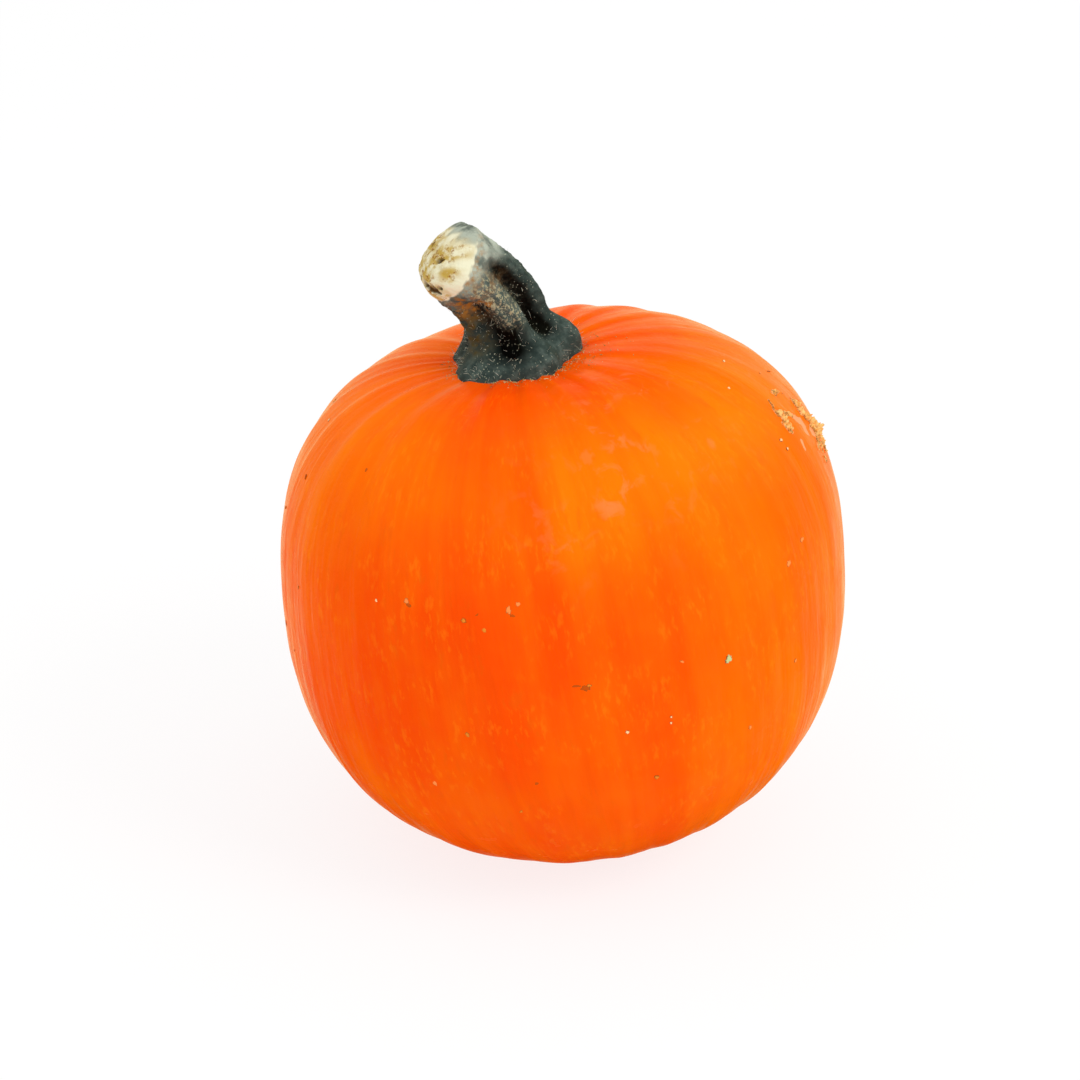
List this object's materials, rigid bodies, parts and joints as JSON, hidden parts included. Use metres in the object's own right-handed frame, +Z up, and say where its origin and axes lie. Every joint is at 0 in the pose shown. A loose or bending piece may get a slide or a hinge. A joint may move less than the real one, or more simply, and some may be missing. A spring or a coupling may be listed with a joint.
{
  "type": "small round pumpkin",
  "caption": "Small round orange pumpkin with shallow ribs and a dry, ridged, leaning stem with a slanted cut end, resting on a small flat spot.",
  "frame": {"origin": "on the small flat spot the pumpkin rests on, midway across the fruit in X and Y", "axes": "+Z up; -Y is the front, where a viewer stands; +X is the viewer's right; the stem leans towards -X and a little towards -Y"},
  "size_m": [0.119, 0.118, 0.135],
  "materials": {
    "rind": "satin",
    "stem": "matte"
  },
  "bodies": {
    "root": {"fruit": "rind", "stem": "stem"}
  },
  "joints": []
}
